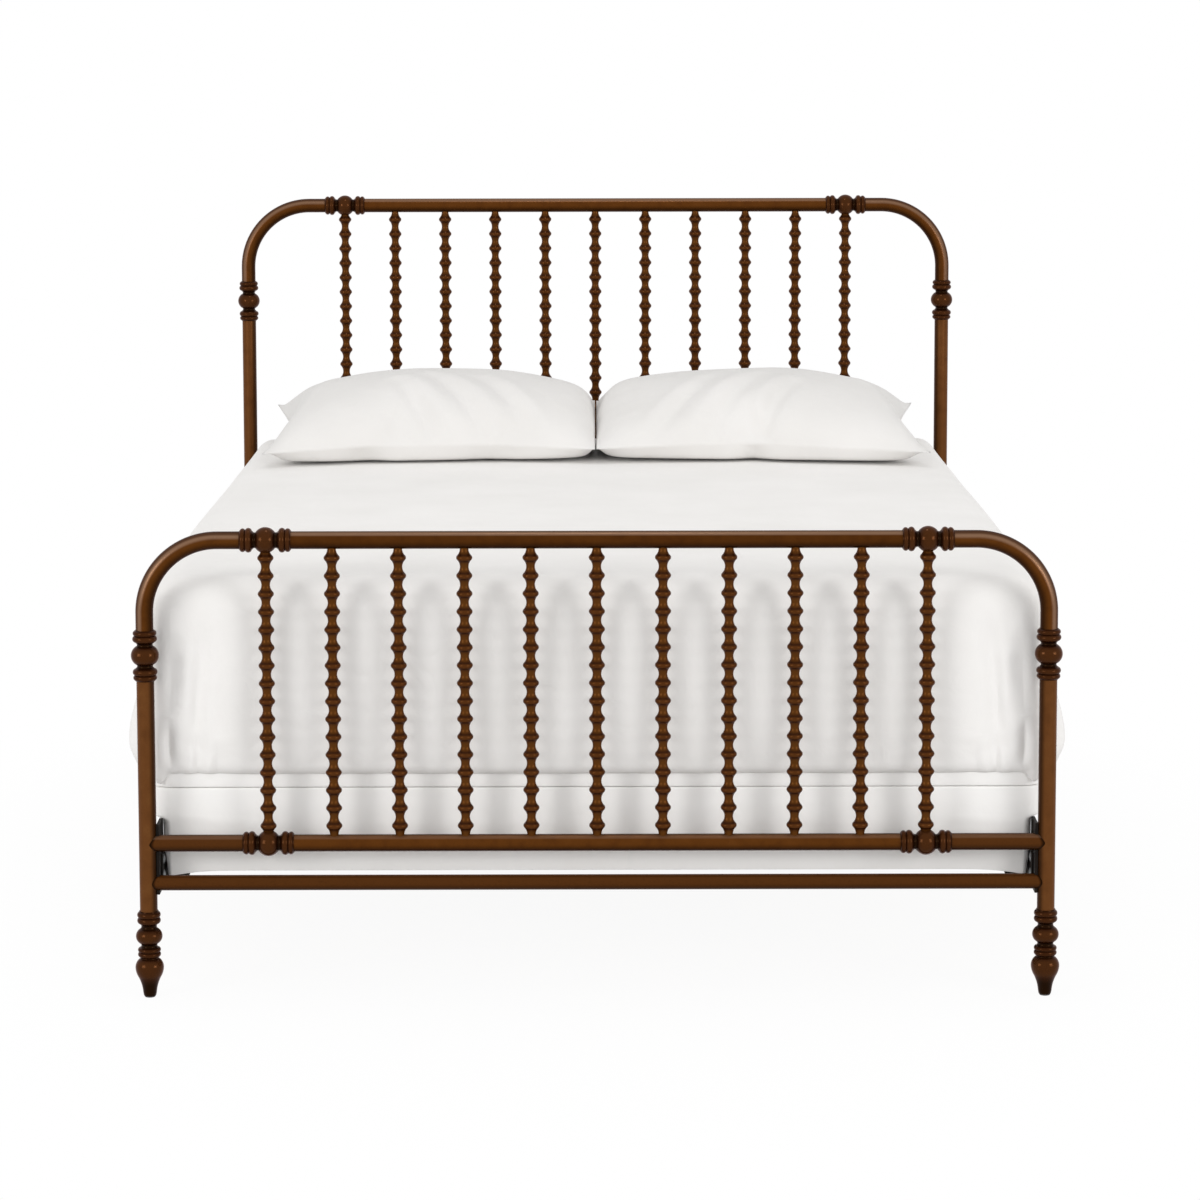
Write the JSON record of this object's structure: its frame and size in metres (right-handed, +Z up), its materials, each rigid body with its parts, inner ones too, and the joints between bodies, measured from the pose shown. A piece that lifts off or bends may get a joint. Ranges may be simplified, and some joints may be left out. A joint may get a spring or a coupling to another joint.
{
  "type": "spindle bed",
  "caption": "Metal bed with rounded tube headboard and footboard, beaded spindles, ringed cast joints and turned feet, made up with duvet and pillows.",
  "frame": {"origin": "on the floor, midway between the two boards and midway between the two sides", "axes": "+Z up, +Y from the footboard to the headboard, +X to the right as seen from the foot"},
  "size_m": [1.6882, 2.1802, 1.287],
  "materials": {
    "bronze_tube": "satin",
    "bronze_casting": "satin",
    "black_steel": "satin",
    "zinc_steel": "satin",
    "slat_wood": "matte",
    "nylon": "matte",
    "black_plastic": "matte",
    "box_spring_cover": "matte",
    "mattress_cover": "matte",
    "white_cotton": "matte"
  },
  "bodies": {
    "frame": {"headboard_top_rail": "bronze_tube", "headboard_lower_rail": "bronze_tube", "headboard_bottom_rail": "bronze_tube", "headboard_spindles": "bronze_casting", "headboard_left_post": "bronze_tube", "headboard_left_bend": "bronze_tube", "headboard_left_lower_stub": "bronze_tube", "headboard_left_collar": "bronze_casting", "headboard_left_foot": "bronze_casting", "headboard_left_top_joint": "bronze_casting", "headboard_left_lower_joint": "bronze_casting", "headboard_left_rail_bracket": "black_steel", "headboard_right_post": "bronze_tube", "headboard_right_bend": "bronze_tube", "headboard_right_lower_stub": "bronze_tube", "headboard_right_collar": "bronze_casting", "headboard_right_foot": "bronze_casting", "headboard_right_top_joint": "bronze_casting", "headboard_right_lower_joint": "bronze_casting", "headboard_right_rail_bracket": "black_steel", "footboard_top_rail": "bronze_tube", "footboard_lower_rail": "bronze_tube", "footboard_bottom_rail": "bronze_tube", "footboard_spindles": "bronze_casting", "footboard_left_post": "bronze_tube", "footboard_left_bend": "bronze_tube", "footboard_left_lower_stub": "bronze_tube", "footboard_left_collar": "bronze_casting", "footboard_left_foot": "bronze_casting", "footboard_left_top_joint": "bronze_casting", "footboard_left_lower_joint": "bronze_casting", "footboard_left_rail_bracket": "black_steel", "footboard_right_post": "bronze_tube", "footboard_right_bend": "bronze_tube", "footboard_right_lower_stub": "bronze_tube", "footboard_right_collar": "bronze_casting", "footboard_right_foot": "bronze_casting", "footboard_right_top_joint": "bronze_casting", "footboard_right_lower_joint": "bronze_casting", "footboard_right_rail_bracket": "black_steel", "left_side_rail": "black_steel", "left_rail_ledge": "black_steel", "right_side_rail": "black_steel", "right_rail_ledge": "black_steel", "rail_bolts": "zinc_steel", "rail_nuts": "zinc_steel", "slat_1": "slat_wood", "slat_2": "slat_wood", "slat_3": "slat_wood", "slat_4": "slat_wood", "slat_5": "slat_wood", "support_plate": "black_steel", "support_leg": "black_steel", "floor_glides": "nylon"},
    "leveller": {"support_foot": "black_plastic"},
    "box_spring": {"box_spring": "box_spring_cover"},
    "mattress": {"mattress": "mattress_cover"},
    "duvet": {"duvet": "white_cotton"},
    "left_pillow": {"left_pillow": "white_cotton"},
    "right_pillow": {"right_pillow": "white_cotton"}
  },
  "joints": [
    {"name": "leveller_adjust", "type": "slide", "parent": "frame", "child": "leveller", "axis": [0, 0, 1], "range_m": [-0.01, 0.015]},
    {"name": "box_spring_lift", "type": "slide", "parent": "frame", "child": "box_spring", "axis": [0, 0, 1], "range_m": [0, 0.65]},
    {"name": "mattress_lift", "type": "slide", "parent": "box_spring", "child": "mattress", "axis": [0, 0, 1], "range_m": [0, 0.45]},
    {"name": "duvet_lift", "type": "slide", "parent": "mattress", "child": "duvet", "axis": [0, 0, 1], "range_m": [0, 0.45]},
    {"name": "left_pillow_lift", "type": "slide", "parent": "duvet", "child": "left_pillow", "axis": [0, 0, 1], "range_m": [0, 0.4]},
    {"name": "right_pillow_lift", "type": "slide", "parent": "duvet", "child": "right_pillow", "axis": [0, 0, 1], "range_m": [0, 0.4]}
  ]
}
